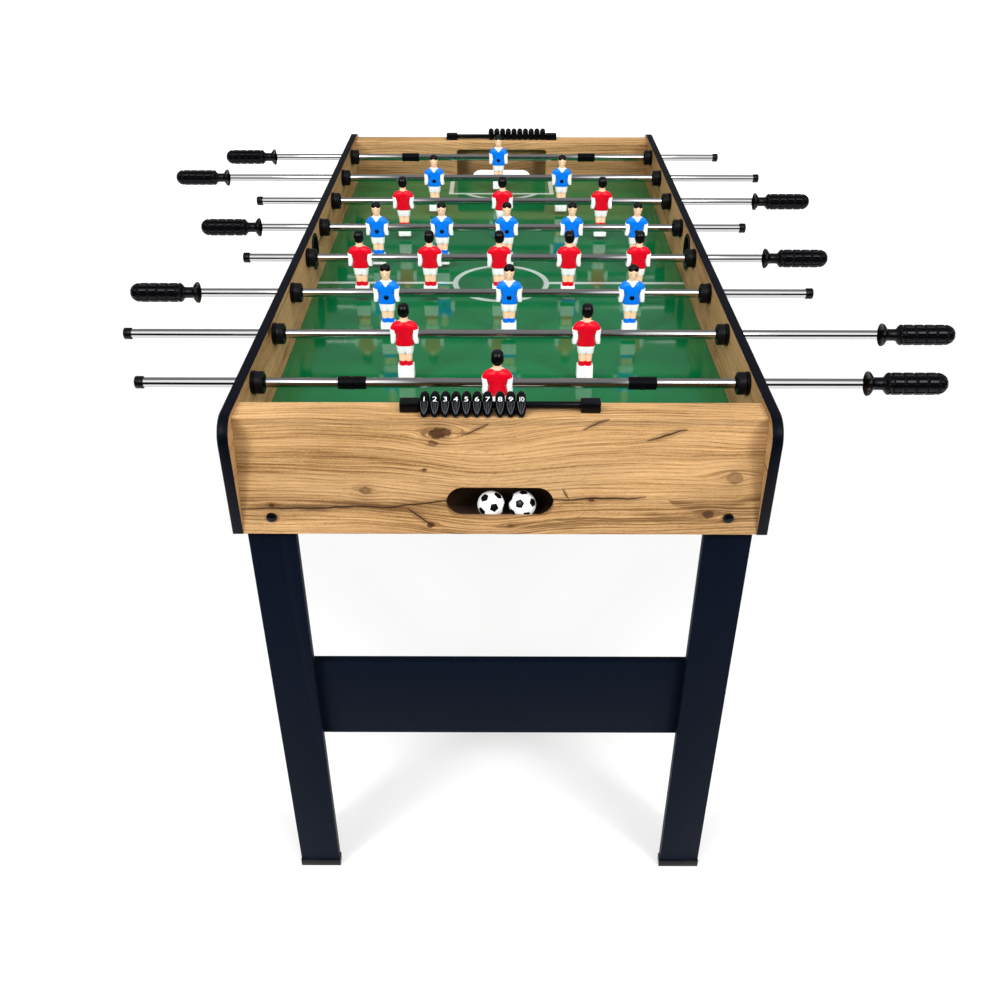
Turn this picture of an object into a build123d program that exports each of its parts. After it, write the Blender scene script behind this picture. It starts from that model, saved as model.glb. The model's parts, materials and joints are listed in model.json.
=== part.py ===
from build123d import *

import math
import os

# Foosball table: an eight-rod table football game on four legs, built from edge-banded boards.
# Frame: origin on the floor at the centre of the cabinet; +X to the right as seen from the near
# end, +Y towards the far end, +Z up. All sizes are in millimetres.

# ---- driving dimensions -------------------------------------------------------------------------

# Cabinet
table_length = 1218.0          # along Y, over the side panels
body_width = 610.0             # along X, over the side panels
table_height = 760.0           # floor to the top of the side panels
side_height = 143.0
side_thickness = 12.0
side_corner_radius = 27.0      # upper corners of the side panels
edge_band = 1.0                # thickness of the black strip glued round the side panels
board = 9.0                    # end panels, goal walls and top rails
joint_gap = 0.2                # fit left between boards that meet
rail_drop = 5.0                # top rails below the top of the side panels
rail_edge_radius = 1.5
end_top_inset = 25.0           # end panel's face behind the ends of the side panels, at its top
end_bottom_inset = 1.0         # and at its bottom
goal_face_inset = 61.5         # playing face of the goal wall, from the end of the table

# Playfield, goals and ball return
pitch_depth = 84.0             # playing surface below the top of the side panels
playfield_thickness = 6.0
batten_width = 20.0
batten_depth = 18.0
cross_batten_width = 40.0
cross_batten_count = 3
goal_width = 180.0
goal_drop = 21.0               # top of the goal mouth below the top of the side panels
goal_corner_radius = 6.0
slot_width = 121.5             # ball-return slot through the end panel, round at both ends
slot_height = 37.5
near_slot_rise = 37.6          # centre of the slot above the bottom of the cabinet
far_slot_rise = 52.0
tray_thickness = 5.0
ball_diameter = 31.5
ball_gap = 0.4                 # ball above the tray
ball_wall_gap = 0.6            # ball off the end panel
first_ball_x = -10.5
ball_spacing = 5.0             # free room between the two balls

# Ball entry in each long side
entry_bore = 46.0
entry_sleeve_wall = 2.5
entry_flange_rim = 2.5         # flange beyond the sleeve, all round
entry_flange_thickness = 2.0
entry_top_margin = 4.0         # flange below the top of the side panels

# Legs
leg_width = 55.5
leg_thickness = 12.0
leg_fit = 0.26                 # top of the leg's front face behind the end panel
leg_overlap = 30.0             # leg inside the cabinet
foot_cap_height = 13.0
foot_cap_wall = 1.2
foot_cap_base = 2.0
crossbar_height = 128.0
crossbar_bottom = 267.0        # above the floor
crossbar_thickness = 12.0
bolt_diameter = 6.0
bolt_head_diameter = 10.0
bolt_head_thickness = 2.5
nut_diameter = 11.0
nut_thickness = 5.0
bolt_height = 21.0             # bolt centres above the bottom of the cabinet
bolt_to_leg_edge = 34.0        # end bolts and crossbar screws from the outer face of the leg
side_bolt_inset = 22.0         # side bolts from the front face of the leg
cap_diameter = 12.0
cap_thickness = 4.0            # over the bolt heads
crossbar_screw_spacing = 90.0

# Rods, bearings and figures
rod_diameter = 12.0
rod_wall = 1.2
keeper_gap = 69.75             # goalkeeper's rod from the playing face of the goal wall
rod_depth = 17.0               # rod centres below the top of the side panels
running_clearance = 0.05       # radial, rod in bearing and in bumper
bearing_sleeve_wall = 2.95
bearing_flange_rim = 5.25      # flange beyond the sleeve, all round
bearing_flange_thickness = 4.0
bearing_nut_wall = 3.0
bearing_nut_thickness = 2.0
bumper_wall = 7.45
bumper_length = 10.6
bumper_dish = 1.5
bumper_gap = 0.3               # bumper off the bearing flange
stop_gap = 0.5                 # figure or collar off the bumper at the end of the travel
# rod left between the cabinet and the handle at the end of the travel, by the number of figures
handle_reach = {1: 37.6, 2: 47.1, 3: 39.6, 5: 43.1}
end_cap_reach = 32.0           # and between the cabinet and the end cap's tip
# slide of a rod each way from the middle, by the number of figures
rod_travel = {1: 90.1, 2: 141.85, 3: 87.6, 5: 49.1}
collar_wall = 1.8
collar_length = 33.0

# One row for each rod from the far end to the near end:
# figures, side of the handle (-1 left, +1 right), resting place of the figures' middle along X
rods = (
    (1, -1, -5.8),
    (2, -1, -6.2),
    (3, +1, 2.1),
    (5, -1, 9.3),
    (5, +1, -2.5),
    (3, -1, 11.7),
    (2, +1, -6.6),
    (1, +1, -3.5),
)

# Handle and end cap
handle_flange_diameter = 29.5
handle_flange_length = 8.0
handle_neck_wall = 1.8
handle_neck_length = 15.0
handle_grip_diameter = 26.5
handle_grip_length = 75.0
handle_bore_depth = 78.0
cap_end_wall = 1.5
cap_end_length = 9.5
cap_end_base = 2.0

# Figure, as heights from the rod's centre and overall widths
foot_clearance = 7.0           # foot above the playfield
foot_height, foot_width, foot_depth = 16.0, 22.0, 15.0
leg_top, legs_width, legs_depth = -24.0, 19.0, 10.5
shorts_top, shorts_width, shorts_depth = -13.0, 24.0, 16.0
waist_width, chest_height, chest_width, chest_depth = 22.0, 8.0, 27.0, 18.5
shoulder_top, shoulder_width, shoulder_depth = 18.0, 17.0, 12.0
arm_radius, arm_top, arm_bottom = 4.2, 16.0, -11.0
figure_half_width = 18.5
head_radius, head_bottom, head_top = 7.8, 22.0, 42.0
neck_radius = 4.6

# Scorers
scorer_inset = 44.0            # bar from the end of the table
scorer_bar_diameter = 8.0
scorer_bar_height = 6.0        # centre of the bar above the rail
scorer_span = 221.0            # over both brackets
bracket_width = 22.0
bracket_depth = 15.0
bracket_height = 11.5
bead_count = 10
bead_width = 10.9
bead_gap = 0.6
bead_clearance = 0.1           # radial, bead on bar
bead_top_radius = 8.5
bead_top = 21.5                # above the rail
bead_nose = 20.0               # nose in front of the bar
bead_back = 8.5                # back behind the bar
bead_foot_gap = 0.6            # bead above the rail
bead_split_gap = 2.2           # free room between beads 7 and 8
beads_scored = 7               # beads in the first group, at the bracket
bead_end_gap = 0.4             # first bead off the bracket


# ---- derived levels and places ------------------------------------------------------------------

side_bottom = table_height - side_height
end_y = -table_length / 2                      # near end of the side panels
inner_x = body_width / 2 - side_thickness      # inner face of a side panel
outer_x = body_width / 2
rail_top = table_height - rail_drop
goal_face_y = end_y + goal_face_inset          # playing face of the near goal wall
goal_back_y = goal_face_y - board
pitch_z = table_height - pitch_depth
rod_z = table_height - rod_depth
lean = math.atan2(end_top_inset - end_bottom_inset, rail_top - board - side_bottom)
leg_front_y = end_y + end_bottom_inset + board / math.cos(lean) + leg_overlap * math.tan(lean) + leg_fit
leg_outer_x = inner_x - joint_gap
side_bolt_y = leg_front_y + side_bolt_inset
leg_top_z = side_bottom + leg_overlap
bolt_z = side_bottom + bolt_height
tray_z = side_bottom + tray_thickness          # surface that the balls lie on
near_slot_z = side_bottom + near_slot_rise
far_slot_z = side_bottom + far_slot_rise
entry_sleeve_diameter = entry_bore + 2 * entry_sleeve_wall
entry_flange_diameter = entry_sleeve_diameter + 2 * entry_flange_rim
entry_z = table_height - entry_top_margin - entry_flange_diameter / 2
rod_count = len(rods)
rod_spacing = -2 * (goal_face_y + keeper_gap) / (rod_count - 1)
running_bore = rod_diameter + 2 * running_clearance
bearing_sleeve_diameter = running_bore + 2 * bearing_sleeve_wall
bearing_flange_diameter = bearing_sleeve_diameter + 2 * bearing_flange_rim
bearing_nut_diameter = bearing_sleeve_diameter + 2 * bearing_nut_wall
bumper_diameter = running_bore + 2 * bumper_wall
bumper_face_x = inner_x - bearing_flange_thickness - bumper_gap - bumper_length
collar_diameter = rod_diameter + 2 * collar_wall
handle_neck_diameter = rod_diameter + 2 * handle_neck_wall
cap_end_diameter = rod_diameter + 2 * cap_end_wall
foot_bottom = rod_depth + foot_clearance - pitch_depth
foot_top = foot_bottom + foot_height
bead_pitch = bead_width + bead_gap


def rod_y(index):
    """Place of a rod's centre along Y, the first rod at the far end."""
    return rod_spacing * ((rod_count - 1) / 2 - index)


def box(x_limits, y_limits, z_limits):
    """Box between pairs of limits."""
    sizes = [high - low for low, high in (x_limits, y_limits, z_limits)]
    centre = [(high + low) / 2 for low, high in (x_limits, y_limits, z_limits)]
    return Pos(*centre) * Box(*sizes)


def rod_along_x(radius, x_limits, y=0.0, z=0.0):
    """Round bar along X between two limits."""
    low, high = x_limits
    return Pos((low + high) / 2, y, z) * Rot(0, 90, 0) * Cylinder(radius, high - low)


def rod_along_y(radius, y_limits, x=0.0, z=0.0):
    """Round bar along Y between two limits."""
    low, high = y_limits
    return Pos(x, (low + high) / 2, z) * Rot(90, 0, 0) * Cylinder(radius, high - low)


def turned(profile, x=0.0, y=0.0, z=0.0, direction=1):
    """Solid turned about X from (distance along, radius) points, pointing along +X or -X."""
    points = [(direction * along, radius) for along, radius in profile]
    face = make_face(Polyline(*points, close=True))
    return Pos(x, y, z) * revolve(face, Axis.X)


def both_ends(shape):
    """The near piece and its far twin, turned half way round the table's centre."""
    return shape, shape.rotate(Axis.Z, 180)


def save(name, *pieces):
    """Write one node, made of one or more separate solids."""
    solids = [solid for piece in pieces for solid in piece.solids()]
    export_step(Compound(solids), f"parts/{name}.step")


os.makedirs("parts", exist_ok=True)


# ---- side panels and their edge bands -----------------------------------------------------------


def side_outline(inset):
    """Outline of a side panel in Y and Z, inset all round but at the bottom."""
    half, top = table_length / 2 - inset, table_height - inset
    radius = side_corner_radius - inset
    sketch = Polyline((-half, side_bottom), (half, side_bottom), (half, top), (-half, top), close=True)
    face = make_face(sketch)
    return fillet(face.vertices().group_by(Axis.Y)[-1], radius)


def side_slab(inset, x_low, thickness):
    """Slab of a side panel's outline between two planes of X."""
    return Pos(x_low, 0, 0) * extrude(Plane.YZ * side_outline(inset), thickness)


def side_panel(side):
    """Board with a hole for each bearing and one for the ball entry."""
    x_low = inner_x if side > 0 else -outer_x
    panel = side_slab(edge_band, x_low, side_thickness)
    limits = (x_low - 1, x_low + side_thickness + 1)
    for index in range(rod_count):
        panel -= rod_along_x(bearing_sleeve_diameter / 2, limits, rod_y(index), rod_z)
    panel -= rod_along_x(entry_sleeve_diameter / 2, limits, 0, entry_z)
    for end in (-1, 1):
        panel -= rod_along_x(bolt_diameter / 2, limits, end * side_bolt_y, bolt_z)
    return panel


def edge_strip(side):
    """Strip round the ends and the top of a side panel."""
    x_low = inner_x if side > 0 else -outer_x
    return side_slab(0, x_low, side_thickness) - side_slab(edge_band, x_low, side_thickness)


for side, side_name in ((-1, "left"), (1, "right")):
    save(f"side_panel_{side_name}", side_panel(side))
save("side_edge_bands", edge_strip(-1), edge_strip(1))


# ---- end panels, top rails, goal walls and ball trays -------------------------------------------


def leaning_board(slot_z):
    """Near end panel, leaning back from its lower edge, with the ball-return slot and two bolt holes."""
    height = rail_top - board - side_bottom
    front_bottom, front_top = end_y + end_bottom_inset, end_y + end_top_inset
    depth = board / math.cos(lean)
    section = Polyline(
        (front_bottom, side_bottom),
        (front_bottom + depth, side_bottom),
        (front_top + depth, side_bottom + height),
        (front_top, side_bottom + height),
        close=True,
    )
    width = 2 * (inner_x - joint_gap)
    panel = extrude(Plane.YZ * make_face(section), width / 2, both=True)
    slot = Pos(0, end_y, slot_z) * Rot(90, 0, 0)
    panel -= slot * extrude(SlotOverall(slot_width, slot_height), 2 * goal_face_inset, both=True)
    for x in (-1, 1):
        place = x * (leg_outer_x - bolt_to_leg_edge)
        panel -= rod_along_y(bolt_diameter / 2, (end_y - 1, leg_front_y), place, bolt_z)
    return panel


def top_rail():
    """Level board over the goal box, with rounded long edges."""
    rail = box(
        (-inner_x + joint_gap, inner_x - joint_gap),
        (end_y + end_top_inset, goal_face_y),
        (rail_top - board, rail_top),
    )
    return fillet(rail.edges().filter_by(Axis.X).group_by(Axis.Z)[-1], rail_edge_radius)


def goal_wall():
    """Wall behind the goal line, with the goal mouth and notches for the tops of the legs."""
    y_limits = (goal_back_y, goal_face_y)
    wall = box((-inner_x + joint_gap, inner_x - joint_gap), y_limits, (side_bottom, rail_top - board))
    mouth_height = pitch_depth - goal_drop
    mouth = box((-goal_width / 2, goal_width / 2), y_limits, (pitch_z, pitch_z + mouth_height))
    mouth = fillet(mouth.edges().filter_by(Axis.Y).group_by(Axis.Z)[-1], goal_corner_radius)
    wall -= mouth
    for x in (-1, 1):
        inner = x * (leg_outer_x - leg_thickness - joint_gap)
        limits = tuple(sorted((inner, x * outer_x)))
        wall -= box(limits, y_limits, (side_bottom, leg_top_z + joint_gap))
    return wall


def ball_tray():
    """Floor of the goal box, between the two legs."""
    reach = leg_outer_x - leg_width - joint_gap
    front = end_y + end_bottom_inset + board / math.cos(lean) + tray_thickness * math.tan(lean)
    return box((-reach, reach), (front + joint_gap, goal_back_y - joint_gap), (side_bottom, tray_z))


save("end_panel_near", leaning_board(near_slot_z))
save("end_panel_far", leaning_board(far_slot_z).rotate(Axis.Z, 180))
save("top_rails", *both_ends(top_rail()))
save("goal_walls", *both_ends(goal_wall()))
save("ball_trays", *both_ends(ball_tray()))


# ---- playfield and the battens under it ---------------------------------------------------------

playfield_y = -goal_face_y - joint_gap
field_x = inner_x - joint_gap
playfield = box((-field_x, field_x), (-playfield_y, playfield_y), (pitch_z - playfield_thickness, pitch_z))
save("playfield", playfield)

batten_z = (pitch_z - playfield_thickness - batten_depth, pitch_z - playfield_thickness)
batten_y = -(leg_front_y + leg_width + 3)
battens = [
    box(tuple(sorted((x * inner_x, x * (inner_x - batten_width)))), (-batten_y, batten_y), batten_z)
    for x in (-1, 1)
]
cross_reach = inner_x - batten_width - joint_gap
for index in range(cross_batten_count):
    y = table_length / (cross_batten_count + 1) * (index - (cross_batten_count - 1) / 2)
    limits = (y - cross_batten_width / 2, y + cross_batten_width / 2)
    battens.append(box((-cross_reach, cross_reach), limits, batten_z))
save("playfield_battens", *battens)


# ---- ball entry rings ---------------------------------------------------------------------------


def entry_ring(side):
    """Flanged sleeve through the side panel that a ball is served through."""
    reach = side_thickness + entry_flange_thickness
    profile = (
        (-entry_flange_thickness, entry_bore / 2),
        (reach, entry_bore / 2),
        (reach, entry_flange_diameter / 2),
        (side_thickness, entry_flange_diameter / 2),
        (side_thickness, entry_sleeve_diameter / 2),
        (0, entry_sleeve_diameter / 2),
        (0, entry_flange_diameter / 2),
        (-entry_flange_thickness, entry_flange_diameter / 2),
    )
    return turned(profile, side * inner_x, 0, entry_z, side)


save("ball_entry_rings", entry_ring(-1), entry_ring(1))


# ---- legs, foot caps, crossbars and their fixings -----------------------------------------------


def leg_section(margin, length):
    """L-shaped section of the near right leg, grown by a margin, from the floor up."""
    outer, front = leg_outer_x + margin, leg_front_y - margin
    inner = leg_outer_x - leg_width - margin
    back = leg_front_y + leg_width + margin
    step_x, step_y = leg_outer_x - leg_thickness - margin, leg_front_y + leg_thickness + margin
    outline = Polyline(
        (inner, front), (outer, front), (outer, back), (step_x, back),
        (step_x, step_y), (inner, step_y), close=True,
    )
    return extrude(make_face(outline), length)


def near_right_leg():
    """Board leg folded to an L, drilled for its two bolts."""
    leg = Pos(0, 0, foot_cap_base) * leg_section(0, leg_top_z - foot_cap_base)
    x = leg_outer_x - bolt_to_leg_edge
    leg -= rod_along_y(bolt_diameter / 2, (leg_front_y - 1, leg_front_y + leg_thickness + 1), x, bolt_z)
    limits = (leg_outer_x - leg_thickness - 1, leg_outer_x + 1)
    leg -= rod_along_x(bolt_diameter / 2, limits, side_bolt_y, bolt_z)
    return leg


def near_right_foot():
    """Plastic shoe round the bottom of the leg."""
    leg_room = Pos(0, 0, foot_cap_base) * leg_section(0, foot_cap_height)
    return leg_section(foot_cap_wall, foot_cap_height) - leg_room


def end_bolt():
    """Bolt through the end panel and the leg's front board, with its nut inside."""
    x = leg_outer_x - bolt_to_leg_edge
    seat = end_y + end_bottom_inset + (bolt_height - cap_diameter / 2) * math.tan(lean)
    inside = leg_front_y + leg_thickness
    head = rod_along_y(bolt_head_diameter / 2, (seat - bolt_head_thickness, seat), x, bolt_z)
    nut = rod_along_y(nut_diameter / 2, (inside, inside + nut_thickness), x, bolt_z)
    shank = rod_along_y(bolt_diameter / 2, (seat, inside + nut_thickness), x, bolt_z)
    cap = rod_along_y(cap_diameter / 2, (seat - cap_thickness, seat), x, bolt_z) - head
    return head + shank + nut, cap


def side_bolt():
    """Bolt through the side panel and the leg's side board, with its nut inside."""
    y = side_bolt_y
    inside = leg_outer_x - leg_thickness
    head = rod_along_x(bolt_head_diameter / 2, (outer_x, outer_x + bolt_head_thickness), y, bolt_z)
    nut = rod_along_x(nut_diameter / 2, (inside - nut_thickness, inside), y, bolt_z)
    shank = rod_along_x(bolt_diameter / 2, (inside - nut_thickness, outer_x), y, bolt_z)
    cap = rod_along_x(cap_diameter / 2, (outer_x, outer_x + cap_thickness), y, bolt_z) - head
    return head + shank + nut, cap


def crossbar():
    """Board between the legs of one end, behind their front boards."""
    reach = leg_outer_x - leg_thickness - joint_gap
    front = leg_front_y + leg_thickness
    return box(
        (-reach, reach),
        (front, front + crossbar_thickness),
        (crossbar_bottom, crossbar_bottom + crossbar_height),
    )


def crossbar_screws():
    """Two screws from behind each end of the crossbar into the leg."""
    middle = crossbar_bottom + crossbar_height / 2
    back = leg_front_y + leg_thickness + crossbar_thickness
    x = leg_outer_x - bolt_to_leg_edge
    screws = []
    for z in (middle - crossbar_screw_spacing / 2, middle + crossbar_screw_spacing / 2):
        screws.append(rod_along_y(bolt_head_diameter / 2, (back, back + bolt_head_thickness), x, z))
    return screws


def four_corners(shape):
    """The near right piece and its three mirror images."""
    near_left = mirror(shape, about=Plane.YZ)
    return {
        "near_right": shape,
        "near_left": near_left,
        "far_left": shape.rotate(Axis.Z, 180),
        "far_right": near_left.rotate(Axis.Z, 180),
    }


for corner, leg in four_corners(near_right_leg()).items():
    save(f"leg_{corner}", leg)
save("foot_caps", *four_corners(near_right_foot()).values())
save("crossbars", *both_ends(crossbar()))
bolts, bolt_caps = zip(end_bolt(), side_bolt())
fixings = [*bolts, *crossbar_screws()]
save("leg_bolts_and_screws", *(copy for fixing in fixings for copy in four_corners(fixing).values()))
save("bolt_caps", *(copy for cap in bolt_caps for copy in four_corners(cap).values()))


# ---- rod bearings -------------------------------------------------------------------------------


def bearing(side, y):
    """Plastic bush through the side panel, flanged inside and held by a nut outside."""
    bore = running_bore / 2
    reach = side_thickness + bearing_nut_thickness
    profile = (
        (-bearing_flange_thickness, bore),
        (reach, bore),
        (reach, bearing_nut_diameter / 2),
        (side_thickness, bearing_nut_diameter / 2),
        (side_thickness, bearing_sleeve_diameter / 2),
        (0, bearing_sleeve_diameter / 2),
        (0, bearing_flange_diameter / 2),
        (-bearing_flange_thickness, bearing_flange_diameter / 2),
    )
    return turned(profile, side * inner_x, y, rod_z, side)


save("rod_bearings", *(bearing(side, rod_y(i)) for side in (-1, 1) for i in range(rod_count)))


# ---- rods with their figures, bumpers, collars, handles and end caps ----------------------------


def rounded_slice(width, depth, z):
    """Horizontal section of a figure, for a loft."""
    return Pos(0, 0, z) * RectangleRounded(width, depth, min(width, depth) * 0.38)


def figure():
    """Moulded player on a rod along X through the origin, feet down."""
    feet = loft([
        rounded_slice(foot_width, foot_depth, foot_bottom),
        rounded_slice(foot_width - 2, foot_depth - 2, foot_top),
    ])
    legs = loft([
        rounded_slice(legs_width - 3, legs_depth - 1, foot_top - 1),
        rounded_slice(legs_width, legs_depth, leg_top + 1),
    ])
    shorts = loft([
        rounded_slice(shorts_width, shorts_depth - 1, leg_top),
        rounded_slice(shorts_width - 2, shorts_depth, shorts_top + 1),
    ])
    trunk = loft([
        rounded_slice(waist_width, shorts_depth, shorts_top),
        rounded_slice(chest_width, chest_depth, chest_height),
        rounded_slice(shoulder_width, shoulder_depth, shoulder_top),
    ], ruled=True)
    neck = Pos(0, 0, (shoulder_top + head_bottom) / 2) * Cylinder(neck_radius, head_bottom - shoulder_top + 8)
    skull_length = head_top - head_bottom - 2 * head_radius
    skull_middle = (head_top + head_bottom) / 2
    head = Pos(0, 0, skull_middle) * Cylinder(head_radius, skull_length)
    for end in (-1, 1):
        head += Pos(0, 0, skull_middle + end * skull_length / 2) * Sphere(head_radius)
    body = feet + legs + shorts + trunk + neck + head
    for side in (-1, 1):
        x = side * (figure_half_width - arm_radius)
        low, high = arm_bottom + arm_radius, arm_top - arm_radius
        arm = Pos(x, 0, (low + high) / 2) * Cylinder(arm_radius, high - low)
        arm += Pos(x, 0, low) * Sphere(arm_radius)
        arm += Pos(x, 0, high) * Sphere(arm_radius)
        body += arm
    return body - rod_along_x(rod_diameter / 2, (-figure_half_width - 1, figure_half_width + 1))


def stop_reach(count):
    """From the figures' middle to the face that meets the bumper at the end of the travel."""
    return bumper_face_x - stop_gap - rod_travel[count]


def figure_places(count):
    """Places of the figures along the rod, from their middle, evenly spread between the outer ones."""
    outermost = stop_reach(count) - figure_half_width
    return [outermost * (2 * i / (count - 1) - 1) for i in range(count)] if count > 1 else [0.0]


def handle(x, direction):
    """Grip with a dished flange towards the table, blind-bored for the rod."""
    bore = rod_diameter / 2
    grip_start = handle_flange_length + handle_neck_length
    total = grip_start + handle_grip_length
    tip = handle_grip_diameter / 2 * 0.55
    profile = (
        (0, bore),
        (0, handle_flange_diameter / 2),
        (2, handle_flange_diameter / 2),
        (handle_flange_length, handle_neck_diameter / 2),
        (grip_start - 3, handle_neck_diameter / 2),
        (grip_start + 4, handle_grip_diameter / 2),
        (total - 7, handle_grip_diameter / 2),
        (total - 2.5, handle_grip_diameter / 2 - 2.5),
        (total, tip),
        (total, 0),
        (handle_bore_depth, 0),
        (handle_bore_depth, bore),
    )
    return turned(profile, x, 0, 0, direction)


def end_cap(x, direction):
    """Plastic cap over the free end of the rod, its rim towards the table at x."""
    bore = rod_diameter / 2
    profile = (
        (0, bore),
        (0, cap_end_diameter / 2),
        (cap_end_length - 1, cap_end_diameter / 2),
        (cap_end_length, cap_end_diameter / 2 - 1),
        (cap_end_length, 0),
        (cap_end_length - cap_end_base, 0),
        (cap_end_length - cap_end_base, bore),
    )
    return turned(profile, x, 0, 0, direction)


def bumper(side):
    """Rubber ring beside the bearing, its inner face dished."""
    bore = running_bore / 2
    profile = (
        (bumper_dish, bore),
        (0, bumper_diameter / 2 - 2),
        (1.5, bumper_diameter / 2),
        (bumper_length, bumper_diameter / 2),
        (bumper_length, bore),
    )
    return turned(profile, side * bumper_face_x, 0, 0, side)


def collar(x):
    """Stop collar clamped on a goalkeeper's rod, with its clamp screw."""
    ring = rod_along_x(collar_diameter / 2, (x - collar_length / 2, x + collar_length / 2))
    ring -= rod_along_x(rod_diameter / 2, (x - collar_length, x + collar_length))
    return fillet(ring.edges().filter_by(GeomType.CIRCLE).filter_by(
        lambda edge: edge.radius > rod_diameter / 2 + 1), 0.8)


facing_near = figure()
facing_far = facing_near.rotate(Axis.Z, 180)

for index, (count, handle_side, middle) in enumerate(rods):
    name = f"rod_{index + 1}"
    place = Pos(0, rod_y(index), rod_z)
    travel_end = outer_x + rod_travel[count]
    handle_x = middle + handle_side * (travel_end + handle_reach[count])
    rim_x = middle - handle_side * (travel_end + end_cap_reach - cap_end_length)
    tube_limits = tuple(sorted((
        handle_x + handle_side * handle_bore_depth,
        rim_x - handle_side * (cap_end_length - cap_end_base),
    )))
    tube = rod_along_x(rod_diameter / 2, tube_limits)
    tube -= rod_along_x(rod_diameter / 2 - rod_wall, tube_limits)
    player = facing_near if handle_side < 0 else facing_far
    players = [Pos(middle + x, 0, 0) * player for x in figure_places(count)]
    save(f"{name}_tube", place * tube)
    save(f"{name}_players", *(place * piece for piece in players))
    grips = handle(handle_x, handle_side), end_cap(rim_x, -handle_side)
    save(f"{name}_handle_and_end_cap", *(place * piece for piece in grips))
    save(f"{name}_bumpers", *(place * bumper(side) for side in (-1, 1)))
    if count == 1:
        collar_offset = stop_reach(count) - collar_length / 2
        collars = [place * collar(middle + side * collar_offset) for side in (-1, 1)]
        save(f"{name}_collars", *collars)
    print(name, "rests at", middle, "and slides", rod_travel[count], "each way from the middle")


# ---- scorers ------------------------------------------------------------------------------------

scorer_y = end_y + scorer_inset
bar_z = rail_top + scorer_bar_height
bracket_inner = scorer_span / 2 - bracket_width


def bracket(side):
    """Block screwed to the rail that holds one end of the scorer's bar."""
    limits = tuple(sorted((side * bracket_inner, side * scorer_span / 2)))
    depth = (scorer_y - bracket_depth / 2, scorer_y + bracket_depth / 2)
    block = box(limits, depth, (rail_top, rail_top + bracket_height))
    block = fillet(block.edges().filter_by(Axis.Z), 2.0)
    block = fillet(block.faces().sort_by(Axis.Z)[-1].edges(), 1.5)
    return block - rod_along_x(scorer_bar_diameter / 2, (-scorer_span, scorer_span), scorer_y, bar_z)


def bead(x):
    """Counter with a round top, a sloping face and a pointed nose, bored for the bar."""
    low, top_z = rail_top + bead_foot_gap, rail_top + bead_top
    back, nose = scorer_y + bead_back, scorer_y - bead_nose
    side_view = make_face(Polyline(
        (nose, low), (back, low), (back, top_z), (back - 2 * bead_top_radius, top_z),
        (nose, low + 4), close=True,
    ))
    side_view = fillet(side_view.vertices().group_by(Axis.Y)[-1], bead_top_radius - 2.5)
    body = extrude(Plane.YZ * side_view, bead_width / 2, both=True)
    shoulder = nose + 0.55 * bead_nose
    plan = make_face(Polyline(
        (-1.5, nose), (1.5, nose), (bead_width / 2, shoulder), (bead_width / 2, back + 1),
        (-bead_width / 2, back + 1), (-bead_width / 2, shoulder), close=True,
    ))
    body = Pos(x, 0, 0) * (body & (Pos(0, 0, low - 1) * extrude(plan, bead_top + 2)))
    bore = scorer_bar_diameter / 2 + bead_clearance
    return body - rod_along_x(bore, (x - bead_width, x + bead_width), scorer_y, bar_z)


first_bead = -bracket_inner + bead_end_gap + bead_width / 2
near_places = [
    first_bead + bead_pitch * i + (bead_split_gap if i >= beads_scored else 0) for i in range(bead_count)
]
far_places = [first_bead + bead_pitch * i for i in range(bead_count)]
bar_limits = (-scorer_span / 2 + 4, scorer_span / 2 - 4)
scorer_bar = rod_along_x(scorer_bar_diameter / 2, bar_limits, scorer_y, bar_z)

save("scorer_brackets_and_bars", *both_ends(bracket(-1)), *both_ends(bracket(1)), *both_ends(scorer_bar))
save("near_scorer_beads_1_to_7", *(bead(x) for x in near_places[:beads_scored]))
save("near_scorer_beads_8_to_10", *(bead(x) for x in near_places[beads_scored:]))
save("far_scorer_beads", *(bead(x).rotate(Axis.Z, 180) for x in far_places))


# ---- balls --------------------------------------------------------------------------------------

ball_radius = ball_diameter / 2
ball_z = tray_z + ball_gap + ball_radius
panel_back = end_y + end_bottom_inset + board / math.cos(lean) + (ball_z - side_bottom) * math.tan(lean)
ball_y = panel_back + ball_radius / math.cos(lean) + ball_wall_gap
for index in range(2):
    x = first_ball_x + index * (ball_diameter + ball_spacing)
    save(f"ball_{index + 1}", Pos(x, ball_y, ball_z) * Sphere(ball_radius))
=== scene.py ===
import json
import math

import bmesh
import bpy
from mathutils import Matrix, Vector


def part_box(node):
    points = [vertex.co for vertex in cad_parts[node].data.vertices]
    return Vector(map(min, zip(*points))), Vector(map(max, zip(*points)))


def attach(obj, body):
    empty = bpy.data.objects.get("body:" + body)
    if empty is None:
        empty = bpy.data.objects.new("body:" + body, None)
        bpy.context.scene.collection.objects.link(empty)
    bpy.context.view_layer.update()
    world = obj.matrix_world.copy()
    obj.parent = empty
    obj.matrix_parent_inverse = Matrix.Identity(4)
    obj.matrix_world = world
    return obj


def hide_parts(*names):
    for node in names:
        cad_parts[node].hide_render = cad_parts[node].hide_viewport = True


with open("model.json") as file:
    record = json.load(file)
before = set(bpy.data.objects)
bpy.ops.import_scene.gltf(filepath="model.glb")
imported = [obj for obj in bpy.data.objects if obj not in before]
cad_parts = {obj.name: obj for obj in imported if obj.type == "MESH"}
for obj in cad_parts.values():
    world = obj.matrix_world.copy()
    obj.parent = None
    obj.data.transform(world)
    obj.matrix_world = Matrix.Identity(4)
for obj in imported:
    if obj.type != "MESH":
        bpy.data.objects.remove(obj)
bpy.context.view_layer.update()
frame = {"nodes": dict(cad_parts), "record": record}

# ---- Studio -------------------------------------------------------------------------------------
# A seamless white floor and backdrop under a large overhead softbox, with two softer side boxes,
# as a product studio has them. None of it belongs to the table.

MM = 0.001


def link(obj):
    bpy.context.scene.collection.objects.link(obj)
    return obj


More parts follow.
